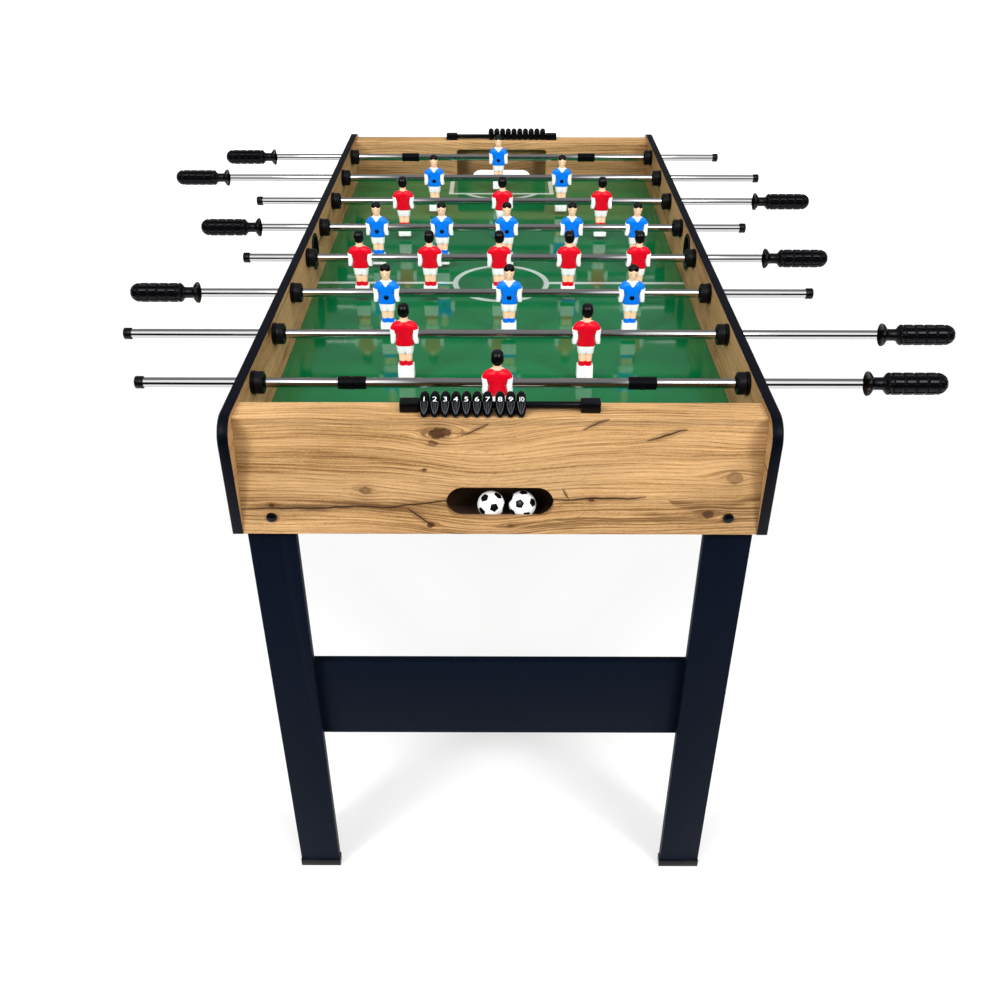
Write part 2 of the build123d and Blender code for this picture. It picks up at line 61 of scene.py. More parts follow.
def add_camera():
    lens_camera = bpy.data.cameras.new("front_camera")
    lens_camera.sensor_width = 36.0
    lens_camera.lens = 36.98
    lens_camera.clip_end = 50.0
    camera = link(bpy.data.objects.new("front_camera", lens_camera))
    camera.location = (1.9 * MM, -1562.0 * MM, 1301.6 * MM)
    camera.rotation_euler = (math.radians(90 - 33.76), math.radians(-0.05), math.radians(0.145))
    bpy.context.scene.camera = camera


def add_softbox(name, size, place, aim, power):
    box_light = bpy.data.lights.new(name, "AREA")
    box_light.shape = "RECTANGLE"
    box_light.size, box_light.size_y = size
    box_light.energy = power
    lamp = link(bpy.data.objects.new(name, box_light))
    lamp.visible_glossy = False
    lamp.location = place
    lamp.rotation_euler = (Vector(aim) - Vector(place)).to_track_quat("-Z", "Y").to_euler()


add_camera()
add_softbox("overhead_softbox", (2.6, 1.4), (0.0, -0.2, 2.8), (0.0, -0.1, 0.7), 40.0)
add_softbox("left_softbox", (0.7, 1.0), (-2.2, -2.6, 2.4), (0.0, -0.2, 0.6), 77.0)
add_softbox("right_softbox", (0.7, 1.0), (2.2, -2.6, 2.4), (0.0, -0.2, 0.6), 77.0)
bpy.context.scene.view_settings.view_transform = "Standard"


class Socket:
    """One output in a material. Arithmetic on it adds Math nodes, and make() adds any other node."""

    def __init__(self, tree, output=None):
        self.tree, self.output = tree, output

    def make(self, kind, settings=None, out=0, **inputs):
        node = self.tree.nodes.new("ShaderNode" + kind)
        for name, value in (settings or {}).items():
            if name == "stops":
                while len(node.color_ramp.elements) < len(value):
                    node.color_ramp.elements.new(1.0)
                for element, (place, colour) in zip(node.color_ramp.elements, value):
                    element.position, element.color = place, (*colour, 1.0)
            else:
                setattr(node, name, value)
        for name, value in inputs.items():
            target = node.inputs[int(name[1:]) if name[1:].isdigit() else name.replace("_", " ")]
            if isinstance(value, Socket):
                self.tree.links.new(value.output, target)
            else:
                target.default_value = value
        return Socket(self.tree, node.outputs[out])

    def math(self, operation, first, second=0.0):
        return self.make("Math", {"operation": operation}, _0=first, _1=second)

    def __add__(self, other):
        return self.math("ADD", self, other)

    def __sub__(self, other):
        return self.math("SUBTRACT", self, other)

    def __rsub__(self, other):
        return self.math("SUBTRACT", other, self)

    def __mul__(self, other):
        return self.math("MULTIPLY", self, other)

    def __truediv__(self, other):
        return self.math("DIVIDE", self, other)

    def __lt__(self, other):
        return self.math("LESS_THAN", self, other)

    def __gt__(self, other):
        return self.math("GREATER_THAN", self, other)

    def __abs__(self):
        return self.math("ABSOLUTE", self)

    def most(self, other):
        return self.math("MAXIMUM", self, other)

    def soft_step(self, low, high):
        """0 below low and 1 above high, smooth between; low may be the larger."""
        return self.make("MapRange", {"interpolation_type": "SMOOTHSTEP"},
                         Value=self, From_Min=low, From_Max=high)

    def noise(self, scale, detail=2.0, rough=0.5, warp=0.0):
        """Noise of these coordinates."""
        return self.make("TexNoise", Vector=self, Scale=scale, Detail=detail, Roughness=rough,
                         Distortion=warp)

    def mix(self, first, second):
        """Colour from first to second as this value goes from 0 to 1."""
        colours = [c if isinstance(c, Socket) else (*c, 1.0) for c in (first, second)]
        return self.make("Mix", {"data_type": "RGBA"}, out=2, _0=self, _6=colours[0], _7=colours[1])

    __radd__, __rmul__ = __add__, __mul__


def place_in(material, kind="Object"):
    """X, Y and Z of the shaded point, and the same point as a vector."""
    here = Socket(material.node_tree)
    point = here.make("TexCoord", out={"Generated": 0, "Object": 3}[kind])
    parts = [point.make("SeparateXYZ", out=i, Vector=point) for i in range(3)]
    return (*parts, point)


def finish(name, **constants):
    """A new material whose shader has these constants on its own sockets."""
    material = bpy.data.materials.new(name)
    material.use_nodes = True
    shader = material.node_tree.nodes["Principled BSDF"]
    for key, value in constants.items():
        if key == "Base_Color":
            value = (*value, 1.0)
        shader.inputs[key.replace("_", " ")].default_value = value
    return material


def drive(material, bump=None, depth=0.0002, **sockets):
    """Link varying values to a material's shader, and a height to its normal."""
    shader = material.node_tree.nodes["Principled BSDF"]
    for key, value in sockets.items():
        material.node_tree.links.new(value.output, shader.inputs[key.replace("_", " ")])
    if bump is not None:
        normal = bump.make("Bump", Height=bump, Distance=depth)
        material.node_tree.links.new(normal.output, shader.inputs["Normal"])
    return material


def studio_sky():
    """What the glossy pieces mirror: a dark room low down, bright panels up in front and to the
    sides, two small lamps, grey behind and overhead. The eye itself sees plain white."""
    sky = bpy.data.worlds.new("studio")
    bpy.context.scene.world = sky
    sky.use_nodes = True
    side, forward, lift, direction = place_in(sky, "Generated")
    wings = abs(side).soft_step(0.17, 0.27)
    behind = lift.soft_step(0.05, 0.55) * 0.22 + 0.08
    low = (behind - 0.02) * forward.soft_step(-0.15, 0.25) + 0.02
    grey = lift.soft_step(0.60, 0.76) * (0.30 - wings * 0.05)
    panel = lift.soft_step(0.30, 0.40) * forward.soft_step(-0.02, -0.22) * (wings * 1.35 + 0.12)
    lamps = lift.soft_step(0.60, 0.64) * lift.soft_step(0.78, 0.74) * forward.soft_step(0.0, -0.1)
    lamps = lamps * abs(side).soft_step(0.27, 0.31) * abs(side).soft_step(0.46, 0.42)
    glow = low.most(grey).most(panel) + lamps * 14.0
    seen = direction.make("LightPath", out=0)
    strength = glow + seen * (1.0 - glow)
    backdrop = sky.node_tree.nodes["Background"]
    sky.node_tree.links.new(strength.output, backdrop.inputs["Strength"])
    backdrop.inputs["Color"].default_value = (1.0, 1.0, 1.0, 1.0)


def stage_floor():
    white = finish("studio_white", Base_Color=(0.45, 0.45, 0.45), Roughness=0.95, Specular_IOR_Level=0.0,
                   Emission_Strength=1.0)
    x, y, _, point = place_in(white)
    # The floor glows by its own emission, as painted light: dim near the table and full a few metres out.
    away = point.math("SQRT", x * x + y * y).soft_step(0.9, 3.6)
    drive(white, Emission_Color=away.mix((0.50, 0.50, 0.50), (0.95, 0.95, 0.95)))
    mesh = bpy.data.meshes.new("studio_floor")
    reach, front_edge = 12.0, -1.6
    mesh.from_pydata([(-2.6, front_edge, 0), (2.6, front_edge, 0), (reach, reach, 0), (-reach, reach, 0)],
                     [], [(0, 1, 2, 3)])
    floor = link(bpy.data.objects.new("studio_floor", mesh))
    floor.data.materials.append(white)


studio_sky()
stage_floor()

# ---- Side panels --------------------------------------------------------------------------------
# Two long particle-board sides with a printed knotty-oak paper on both faces, and a black plastic
# strip glued round their edges. The print's grain runs along the table.


def body_of(node):
    return next(name for name, nodes in frame["record"]["behaviour"]["bodies"].items() if node in nodes)


def stand_for(piece, *nodes):
    """The piece rides with these CAD nodes and is shown in their place."""
    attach(piece, body_of(nodes[0]))
    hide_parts(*nodes)
    return piece


def eased(node, width, name, *materials, segments=2):
    """The CAD node's own shape with its sharp edges eased to a small round."""
    mesh = frame["nodes"][node].data.copy()
    mesh.materials.clear()
    shape = bmesh.new()
    shape.from_mesh(mesh)
    bmesh.ops.remove_doubles(shape, verts=shape.verts, dist=0.00001)
    bmesh.ops.dissolve_limit(shape, angle_limit=math.radians(0.5), verts=shape.verts, edges=shape.edges)
    shape.to_mesh(mesh)
    shape.free()
    piece = link(bpy.data.objects.new(name, mesh))
    bevel = piece.modifiers.new("eased", "BEVEL")
    bevel.width, bevel.segments = width, segments
    bevel.limit_method, bevel.angle_limit = "ANGLE", math.radians(40)
    bevel.use_clamp_overlap = True
    bake_modifiers(piece)
    for material in materials:
        piece.data.materials.append(material)
    return stand_for(piece, node)


def bake_modifiers(piece, smooth_angle=35):
    """Apply the modifiers and shade smooth below an angle."""
    bpy.context.view_layer.update()
    seen = piece.evaluated_get(bpy.context.evaluated_depsgraph_get())
    mesh = bpy.data.meshes.new_from_object(seen)
    piece.modifiers.clear()
    piece.data = mesh
    smooth(piece, smooth_angle)


def smooth(piece, angle=35):
    piece.data.polygons.foreach_set("use_smooth", [True] * len(piece.data.polygons))
    piece.data.set_sharp_from_angle(angle=math.radians(angle))


OAK_LIGHT, OAK_MID, OAK_DARK = (0.520, 0.318, 0.146), (0.365, 0.210, 0.085), (0.150, 0.070, 0.022)
KNOT_DARK = (0.045, 0.016, 0.006)
RAIL_UNDERSIDE = 0.7415


def oak(name, along, knots=(), cracks=(), streaks=(), shade=1.0):
    """Knotty oak print with its grain along one axis; knots are (along, across, size, darkness),
    cracks are (start, end, across at the start, across at the end, width), streaks the same. Shade
    scales the print's tones down: painted shade for boards that stand in shadow."""
    material = finish(name, IOR=1.30)
    x, y, z, point = place_in(material)
    run, across = (x, z + y * 0.9) if along == "X" else (y, z + x * 0.2)

    def stretched(first, second, third=0.0, detail=2.0, rough=0.5, warp=0.0):
        return point.make("CombineXYZ", X=first, Y=second, Z=third).noise(1.0, detail, rough, warp)

    swell = run * 0.0
    if along == "X":
        swell = point.math("EXPONENT", (run + 0.02) * (run + 0.02) * -160.0) * 0.014
    bent = across + swell + (stretched(run * 2.6, across * 9.0, 0.37, 3.0) - 0.5) * 0.034
    core, halo = run * 0.0, run * 0.0
    for knot_run, knot_across, size, darkness in knots:
        off_run = (run - knot_run) / (1.25 * size)
        off_across = (across - knot_across) / size
        ragged = (stretched(run * 190.0, across * 190.0, knot_run * 9.0, 2.0, 0.6) - 0.5) * 1.5
        far = off_run * off_run + off_across * off_across + ragged
        around = off_run * off_run * 0.30 + off_across * off_across * 0.50
        pull = point.math("EXPONENT", around * -0.40)
        bent = bent - pull * (off_across.soft_step(-1.2, 1.2) - 0.5) * size * 1.7
        core = core.most(far.soft_step(1.10, 0.55) * darkness)
        halo = halo.most(far.soft_step(6.0, 0.8) * darkness)
    broad = stretched(run * 1.8, bent * 48.0, 0.0, 4.0, 0.55)
    lines = stretched(run * 11.0, bent * 900.0, 0.5, 3.0, 0.70)
    rings = point.math("SINE", bent * 1250.0 + broad * 8.0) * 0.5 + 0.5
    patch = stretched(run * 3.4, across * 10.0, 0.1, 1.0)
    pores = stretched(run * 42.0, bent * 1500.0, 0.9, 1.0)
    slant_run, slant_across = run * 0.55 - across * 0.83, run * 0.83 + across * 0.55
    flecks = stretched(slant_run * 900.0, slant_across * 105.0, 0.2, 2.0)
    mottle = stretched(run * 420.0, across * 800.0, 0.7, 2.0, 0.6)
    tone = broad * 0.34 + lines * 0.66 + (patch - 0.5) * 0.20 + rings * (patch * 0.16) - 0.055
    tone = tone + (mottle - 0.5) * 0.16
    if along == "X":
        tone = tone - across.soft_step(0.135, 0.105) * (z < RAIL_UNDERSIDE) * 0.042
    colour = tone.make("ValToRGB", {"stops": (
        (0.335, tuple(c * shade for c in OAK_DARK)), (0.445, tuple(c * shade for c in OAK_MID)),
        (0.575, tuple(c * shade for c in OAK_LIGHT)),
    )}, Fac=tone)
    colour = (pores.soft_step(0.40, 0.28) * 0.55).mix(colour, OAK_DARK)
    colour = (flecks.soft_step(0.60, 0.70) * patch.soft_step(0.47, 0.56) * 0.55).mix(colour, OAK_DARK)
    split, smear = run * 0.0, run * 0.0
    jitter = stretched(run * 19.0, across * 12.0, 0.4, 5.0, 0.6) - 0.5
    for marks, open_crack, wander in ((cracks, True, 0.011), (streaks, False, 0.016)):
        for start, end, low, high, width in marks:
            share = (run - start) / (end - start)
            gap = abs(across - (share * (high - low) + low) - jitter * wander)
            hump = (share * (1 - share) * 4).most(0.0)
            body = hump.math("POWER", hump, 0.6)
            inside = (share > 0.0) * (share < 1.0)
            half = body * width * (patch * 2.0 + 0.9)
            if open_crack:
                split = split.most(gap.soft_step(half, half * 0.3) * inside)
                smear = smear.most(gap.soft_step(half * 4.5, half) * inside * 0.55)
            else:
                smear = smear.most(gap.soft_step(half, half * 0.2) * inside * lines.soft_step(0.62, 0.46))
    colour = (smear * 0.85).mix(colour, tuple(c * 0.75 for c in OAK_DARK))
    colour = (halo * lines.soft_step(0.66, 0.40) * 0.75).mix(colour, OAK_DARK)
    colour = (core * 0.92).mix(colour, KNOT_DARK)
    colour = (split * 0.92).mix(colour, tuple(c * 0.5 for c in KNOT_DARK))
    rough = lines * 0.12 + 0.46 - core * 0.1
    height = lines * 0.5 + pores * 0.5 - split * 2.0 - core
    return drive(material, bump=height, depth=0.00010, Base_Color=colour, Roughness=rough)


band = finish("black_edge_band", Base_Color=(0.001, 0.0015, 0.004), Roughness=0.38, IOR=1.20)
_, _, _, band_point = place_in(band)
drive(band, bump=band_point.noise(900.0, 2.0), depth=0.00003,
      Roughness=band_point.noise(35.0) * 0.16 + 0.30)

side_knots = ((-0.36, 0.700, 0.010, 0.8), (0.22, 0.722, 0.007, 0.8), (0.47, 0.690, 0.009, 0.7))
side_cracks = ((-0.52, -0.30, 0.716, 0.712, 0.0012), (0.02, 0.18, 0.668, 0.675, 0.0010))
# The sides take the print at 0.92 of its tone: painted shade.
side_oak_painted_shade = oak("oak_print_sides_painted_shade", "Y", side_knots, side_cracks, shade=0.92)
for hand in ("left", "right"):
    eased(f"side_panel_{hand}", 0.0004, f"{hand}_side_board", side_oak_painted_shade, segments=1)
eased("side_edge_bands", 0.0004, "edge_bands_round_sides", band)

# ---- Ends, top rails and goal walls -------------------------------------------------------------
# Thinner boards with the same oak print, their grain across the table. The end panels lean back
# and have the ball-return slot; the rails lie level over the goal boxes.

end_knots = (
    (-0.069, 0.2095, 0.0085, 1.0), (-0.060, 0.2110, 0.0060, 0.9), (-0.074, 0.1960, 0.0045, 0.7),
    (-0.151, 0.1314, 0.0060, 0.55), (-0.079, 0.0826, 0.0042, 1.0), (0.236, 0.0985, 0.0060, 0.9),
    (0.262, 0.1500, 0.0090, 0.55),
    (-0.258, 0.1105, 0.0028, 0.9), (-0.084, 0.1600, 0.0022, 0.9), (0.103, 0.1190, 0.0030, 0.9),
    (0.012, 0.0820, 0.0030, 0.5),
)
end_cracks = (
    (-0.300, -0.105, 0.1050, 0.1085, 0.0010), (-0.140, -0.040, 0.1070, 0.1200, 0.0010),
    (-0.106, -0.076, 0.1080, 0.0800, 0.0014), (0.050, 0.165, 0.1180, 0.1235, 0.0010),
    (0.160, 0.206, 0.1990, 0.2163, 0.0010), (0.090, 0.120, 0.2143, 0.2280, 0.0007),
    (-0.040, -0.012, 0.2060, 0.2233, 0.0008), (0.070, 0.078, 0.1330, 0.1200, 0.0009),
)
end_streaks = (
    (0.190, 0.320, 0.1170, 0.0960, 0.0075), (0.215, 0.300, 0.1060, 0.1230, 0.0050),
    (-0.300, 0.060, 0.1060, 0.1130, 0.0060), (0.060, 0.310, 0.0900, 0.0940, 0.0050),
    (-0.010, 0.110, 0.0790, 0.0840, 0.0045),
)
end_oak = oak("oak_print_ends", "X", end_knots, end_cracks, end_streaks)
# The goal walls take the print at 0.85 of its tone: painted shade.
goal_wall_oak_painted_shade = oak("oak_print_goal_walls_painted_shade", "X", shade=0.85)
# Their back faces inside the goal boxes are coloured near black: painted shade of the goal boxes.
goal_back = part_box("goal_walls")[1].y
shader = goal_wall_oak_painted_shade.node_tree.nodes["Principled BSDF"]
_, wall_y, _, _ = place_in(goal_wall_oak_painted_shade)
printed = Socket(goal_wall_oak_painted_shade.node_tree, shader.inputs["Base Color"].links[0].from_socket)
drive(goal_wall_oak_painted_shade, Base_Color=(abs(wall_y) > goal_back - 0.0004).mix(printed, (0.035, 0.018, 0.010)))
for end in ("near", "far"):
    eased(f"end_panel_{end}", 0.0008, f"{end}_end_board", end_oak)
eased("top_rails", 0.0004, "rails_over_goal_boxes", end_oak)
eased("goal_walls", 0.0008, "walls_behind_goal_lines", goal_wall_oak_painted_shade)

# ---- Ball trays and battens ---------------------------------------------------------------------
# The floors of the goal boxes and the battens that carry the playfield: unfinished boards, the goal
# box floors coloured near black over their grain as painted shade inside the goal boxes.

goal_box_floor_shade = finish("goal_box_floor_painted_shade", IOR=1.45)
tray_x, tray_y, tray_z, tray_point = place_in(goal_box_floor_shade)
fibres = tray_point.make("CombineXYZ", X=tray_x * 14.0, Y=tray_y * 500.0, Z=tray_z * 500.0).noise(1.0, 3.0)
# Near black-brown under the fibre grain: painted shade of the goal boxes.
drive(goal_box_floor_shade, bump=fibres, Base_Color=fibres.mix((0.035, 0.020, 0.013), (0.085, 0.048, 0.030)),
      Roughness=fibres * 0.2 + 0.6)
eased("ball_trays", 0.0004, "goal_box_floors", goal_box_floor_shade)

raw = finish("raw_board", IOR=1.45)
_, _, _, raw_point = place_in(raw)
chips = raw_point.noise(420.0, 3.0, 0.7)
drive(raw, bump=chips, Base_Color=chips.mix((0.36, 0.24, 0.13), (0.62, 0.47, 0.29)),
      Roughness=chips * 0.1 + 0.8)
eased("playfield_battens", 0.0005, "battens_under_playfield", raw)

# ---- Playfield ----------------------------------------------------------------------------------
# A thin board with a glossy green print: halfway line, centre circle and, at each end, a penalty
# area with its arc, all in white.

pitch = finish("printed_pitch", Coat_Roughness=0.03, IOR=1.5)
px, py, _, pitch_point = place_in(pitch)
half_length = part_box("playfield")[1].y
line = 0.0085
circle_radius, arc_radius, arc_centre_y = 0.0728, 0.0898, 0.5215


def stroke(distance, width):
    """1 within half a width of a line, by its distance."""
    return abs(distance).soft_step(width * 0.5 + 0.0004, width * 0.5 - 0.0004)


def reach(along_x, along_y):
    return pitch_point.math("SQRT", along_x * along_x + along_y * along_y)


from_middle = reach(px, py)
white_lines = stroke(py, line) * (from_middle > 0.070)
white_lines = white_lines.most(stroke(from_middle - circle_radius, line))
area_half_width, area_depth = 0.0993, 0.0828
from_goal = half_length - abs(py)
inside_area = (abs(px) < area_half_width + line * 0.5) * (from_goal < area_depth + line * 0.5)
edge = stroke(abs(px) - area_half_width, line).most(stroke(from_goal - area_depth, line))
white_lines = white_lines.most(edge * inside_area)
arc_reach = reach(px, abs(py) - arc_centre_y)
white_lines = white_lines.most(stroke(arc_reach - arc_radius, line) * (from_goal > area_depth))
turf = pitch_point.noise(9.0, 3.0)
green = turf.mix((0.001, 0.092, 0.026), (0.002, 0.124, 0.037))
drive(pitch, Base_Color=white_lines.mix(green, (0.37, 0.43, 0.39)), Roughness=turf * 0.03 + 0.07)
eased("playfield", 0.0004, "printed_playfield", pitch, segments=1)

# ---- Moulded black plastic ----------------------------------------------------------------------
# Injection-moulded parts: ball entry rings, rod bearings with their nuts, collars, bolt caps, foot
# caps and the scorers' brackets, all satin black with a faint moulding texture.


def moulded(name, colour, rough, grain):
    material = finish(name, Base_Color=colour, IOR=1.27)
    _, _, _, point = place_in(material)
    skin = point.noise(grain, 2.0)
    return drive(material, bump=skin, depth=0.00004, Roughness=skin * 0.14 + (rough - 0.07))


plastic = moulded("moulded_black_plastic", (0.0012, 0.0014, 0.0022), 0.22, 1500.0)
rubber = moulded("black_rubber", (0.003, 0.003, 0.004), 0.40, 2200.0)
eased("ball_entry_rings", 0.0007, "ball_entry_rings_in_sides", plastic)
eased("rod_bearings", 0.0006, "flanged_rod_bearings", plastic)
eased("foot_caps", 0.0006, "foot_shoes", plastic)
eased("scorer_brackets_and_bars", 0.0012, "scorer_brackets_with_bars", plastic, segments=3)

# ---- Legs and crossbars -------------------------------------------------------------------------
# Boards wrapped in a black laminate with a fine open-pore grain. Each leg is folded to an L and
# bolted inside a corner; a crossbar ties the two legs of an end.

laminate = finish("black_laminate", IOR=1.10)
leg_x, leg_y, leg_z, leg_point = place_in(laminate)
strands = leg_point.make("CombineXYZ", X=leg_x * 700.0, Y=leg_y * 700.0, Z=leg_z * 16.0)
strands = strands.noise(1.0, 2.0, 0.6)
cloud = leg_point.noise(5.0, 2.0)
drive(laminate, bump=strands, depth=0.00010, Base_Color=(strands * 0.7 + cloud * 0.3).mix(
    (0.0015, 0.003, 0.0075), (0.0035, 0.006, 0.0135)), Roughness=strands * 0.10 + 0.40)
for corner in ("near_left", "near_right", "far_left", "far_right"):
    eased(f"leg_{corner}", 0.0010, f"{corner}_leg_board", laminate)
eased("crossbars", 0.0008, "crossbars_between_legs", laminate)

zinc = finish("zinc_plated_steel", Metallic=1.0, Base_Color=(0.55, 0.55, 0.56))
_, _, _, zinc_point = place_in(zinc)
drive(zinc, Roughness=zinc_point.noise(300.0) * 0.2 + 0.25)
eased("leg_bolts_and_screws", 0.0004, "bolts_and_screws", zinc)

# ---- Rods ---------------------------------------------------------------------------------------
# Chromed steel tubes through both side panels. Rubber bumpers beside the bearings stop the
# figures, and the two goalkeepers' rods have clamped stop collars.

chrome = finish("chromed_tube", Metallic=1.0, Base_Color=(0.55, 0.55, 0.56))
_, _, _, chrome_point = place_in(chrome)
drive(chrome, Roughness=chrome_point.noise(60.0, 2.0) * 0.04 + 0.03)

figures_on_rod = (1, 2, 3, 5, 5, 3, 2, 1)
blue_rods = (1, 2, 4, 6)
rod_numbers = range(1, len(figures_on_rod) + 1)


def middle_of(node):
    low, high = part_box(node)
    return (low + high) / 2


for number in rod_numbers:
    eased(f"rod_{number}_tube", 0.0003, f"rod_{number}_chromed_tube", chrome)
    eased(f"rod_{number}_bumpers", 0.0008, f"rod_{number}_rubber_bumpers", rubber)


def turned_mesh(name, profile, around):
    """Closed mesh of a profile of (along, radius) points turned round X."""
    shape = bmesh.new()
    rings = []
    for along, radius in profile:
        if radius < 1e-6:
            rings.append([shape.verts.new((along, 0, 0))])
            continue
        ring = []
        for i in range(around):
            angle = 2 * math.pi * i / around
            ring.append(shape.verts.new((along, radius * math.cos(angle), radius * math.sin(angle))))
        rings.append(ring)
    for first, second in zip(rings, rings[1:]):
        for i in range(around):
            j = (i + 1) % around
            around_quad = ((first, i), (first, j), (second, j), (second, i))
            corners = list(dict.fromkeys(ring[k % len(ring)] for ring, k in around_quad))
            if len(corners) > 2:
                shape.faces.new(corners)
    bmesh.ops.recalc_face_normals(shape, faces=shape.faces)
    mesh = bpy.data.meshes.new(name)
    shape.to_mesh(mesh)
    shape.free()
    return mesh


def joined(name, meshes_and_places, materials):
    """One object from copies of meshes at their places."""
    shape = bmesh.new()
    for mesh, place in meshes_and_places:
        part = mesh.copy()
        part.transform(place)
        shape.from_mesh(part)
        bpy.data.meshes.remove(part)
    mesh = bpy.data.meshes.new(name)
    shape.to_mesh(mesh)
    shape.free()
    piece = link(bpy.data.objects.new(name, mesh))
    for material in materials:
        mesh.materials.append(material)
    smooth(piece)
    return piece


TUBE_BORE = 6.05 * MM
COLLAR_HALF = 16.5 * MM


def collar_meshes():
    """Clamp collar, and the head of its screw."""
    radius, half, bore = 7.8 * MM, COLLAR_HALF, TUBE_BORE
    profile = ((-half, bore), (-half, radius - 0.6 * MM), (-half + 0.6 * MM, radius),
               (half - 0.6 * MM, radius), (half, radius - 0.6 * MM), (half, bore), (-half, bore))
    mesh = turned_mesh("collar", profile, 48)
    screw = turned_mesh("collar_screw", (
        (radius - 1.0 * MM, 0.0), (radius - 1.0 * MM, 2.6 * MM), (radius + 0.2 * MM, 2.4 * MM),
        (radius + 0.4 * MM, 1.8 * MM), (radius - 0.2 * MM, 1.2 * MM), (radius - 0.2 * MM, 0.0)), 24)
    screw.transform(Matrix.Rotation(math.radians(35), 4, "X") @ Matrix.Rotation(math.radians(-90), 4, "Z"))
    return mesh, screw


for number in rod_numbers:
    if figures_on_rod[number - 1] == 1:
        node = f"rod_{number}_collars"
        low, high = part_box(node)
        centre = middle_of(node)
        ring, screw_head = collar_meshes()
        collars = []
        for x in (low.x + COLLAR_HALF, high.x - COLLAR_HALF):
            place = Matrix.Translation((x, centre.y, centre.z))
            collars += [(ring, place), (screw_head, place)]
        stand_for(joined(f"rod_{number}_stop_collars", collars, [plastic]), node)

# ---- Handles and end caps -----------------------------------------------------------------------
# Black moulded grips: a dished finger guard, a plain neck and a grip whose surface is cut into
# raised pads by rings and lengthwise grooves. The far end of each rod has a small cap.

grip_plastic = moulded("grip_plastic", (0.0012, 0.0014, 0.0022), 0.22, 1800.0)


GRIP_START, HANDLE_LENGTH, NECK_RADIUS, GRIP_RADIUS = 22.0, 98.0, 7.8, 13.2
CAP_LENGTH = 9.5


def groove(place, pitch, width, depth):
    """Depth of the nearest of a row of round-bottomed grooves."""
    off = abs((place / pitch + 0.5) % 1.0 - 0.5) * pitch
    return depth * max(0.0, 1.0 - (off / width) ** 2)


def grip_radius(along, angle):
    """Radius of the handle at a distance from the guard's rim and an angle round it, in mm."""
    from_neck = along - GRIP_START
    ease_in = min(1.0, max(0.0, from_neck / 6.0))
    body = NECK_RADIUS + (GRIP_RADIUS - NECK_RADIUS) * math.sin(ease_in * math.pi / 2) ** 1.4
    tip = (along - (HANDLE_LENGTH - 14.0)) / 14.0
    if tip > 0:
        body = GRIP_RADIUS * math.sqrt(max(0.0, 1 - 0.94 * tip ** 2.1))
    lengthwise = groove(angle, math.pi / 7, 0.095, 1.7)
    rings = groove(from_neck - 9.0, 13.4, 1.5, 1.9) if 6.0 < from_neck < 68.0 else 0.0
    return body - max(lengthwise, rings) * min(1.0, max(0.0, (from_neck - 2.0) / 5.0))


def handle_mesh():
    """Finger guard, neck and padded grip along +X from the guard's rim."""
    shape = bmesh.new()
    around = 112
    guard = [(5.6, 6.05), (6.0, 8.5), (4.4, 12.2), (3.2, 13.9), (2.9, 14.6), (4.0, 14.7), (6.0, 13.6),
             (8.4, 10.4), (10.0, 8.2), (12.0, 7.7), (15.0, 7.6), (18.0, 7.6), (21.5, 7.7)]
    ring_gap = 0.62
    grip = [GRIP_START + ring_gap * i for i in range(int((HANDLE_LENGTH - GRIP_START) / ring_gap) + 1)]
    rings = []
    for along, radius in guard:
        rings.append((along, [radius] * around))
    for along in grip:
        rings.append((along, [grip_radius(along, 2 * math.pi * i / around) for i in range(around)]))
    previous = None
    for along, radii in rings:
        ring = []
        for i, radius in enumerate(radii):
            angle = 2 * math.pi * i / around
            corner = Vector((along, radius * math.cos(angle), radius * math.sin(angle))) * MM
            ring.append(shape.verts.new(corner))
        if previous:
            for i in range(around):
                j = (i + 1) % around
                shape.faces.new((previous[i], previous[j], ring[j], ring[i]))
        previous = ring
    tip = shape.verts.new((HANDLE_LENGTH * MM, 0, 0))
    for i in range(around):
        shape.faces.new((previous[i], previous[(i + 1) % around], tip))
    bmesh.ops.recalc_face_normals(shape, faces=shape.faces)
    mesh = bpy.data.meshes.new("handle")
    shape.to_mesh(mesh)
    shape.free()
    return mesh


def end_cap_mesh():
    """Cap over the rod's end along +X from its rim, with a small chamfer."""
    profile = ((0, 6.05), (0, 7.1), (0.4, 7.5), (8.3, 7.5), (9.1, 7.0), (CAP_LENGTH, 6.2), (CAP_LENGTH, 0))
    return turned_mesh("end_cap", [(a * MM, r * MM) for a, r in profile], 48)


handle_shape, cap_shape = handle_mesh(), end_cap_mesh()
half_turn = Matrix.Rotation(math.pi, 4, "Z")
for number in rod_numbers:
    node = f"rod_{number}_handle_and_end_cap"
    low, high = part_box(node)
    centre = middle_of(node)
    side = -1 if number in blue_rods else 1
    guard_x = (high.x if side > 0 else low.x) - side * HANDLE_LENGTH * MM
    cap_x = (low.x if side > 0 else high.x) + side * CAP_LENGTH * MM
    towards_grip = Matrix.Identity(4) if side > 0 else half_turn
    towards_cap = half_turn if side > 0 else Matrix.Identity(4)
    stand_for(joined(f"rod_{number}_grip_and_cap", [
        (handle_shape, Matrix.Translation((guard_x, centre.y, centre.z)) @ towards_grip),
        (cap_shape, Matrix.Translation((cap_x, centre.y, centre.z)) @ towards_cap),
    ], [grip_plastic]), node)

# ---- Figures ------------------------------------------------------------------------------------
# Solid moulded players, painted by hand: black hair, skin, team shirt with a white collar, white
# sleeves, shorts and kicking block, team socks. A screw fastens each to its rod; on the blue
# figures its hole is a black disc, the screw head with painted shade of the hole.


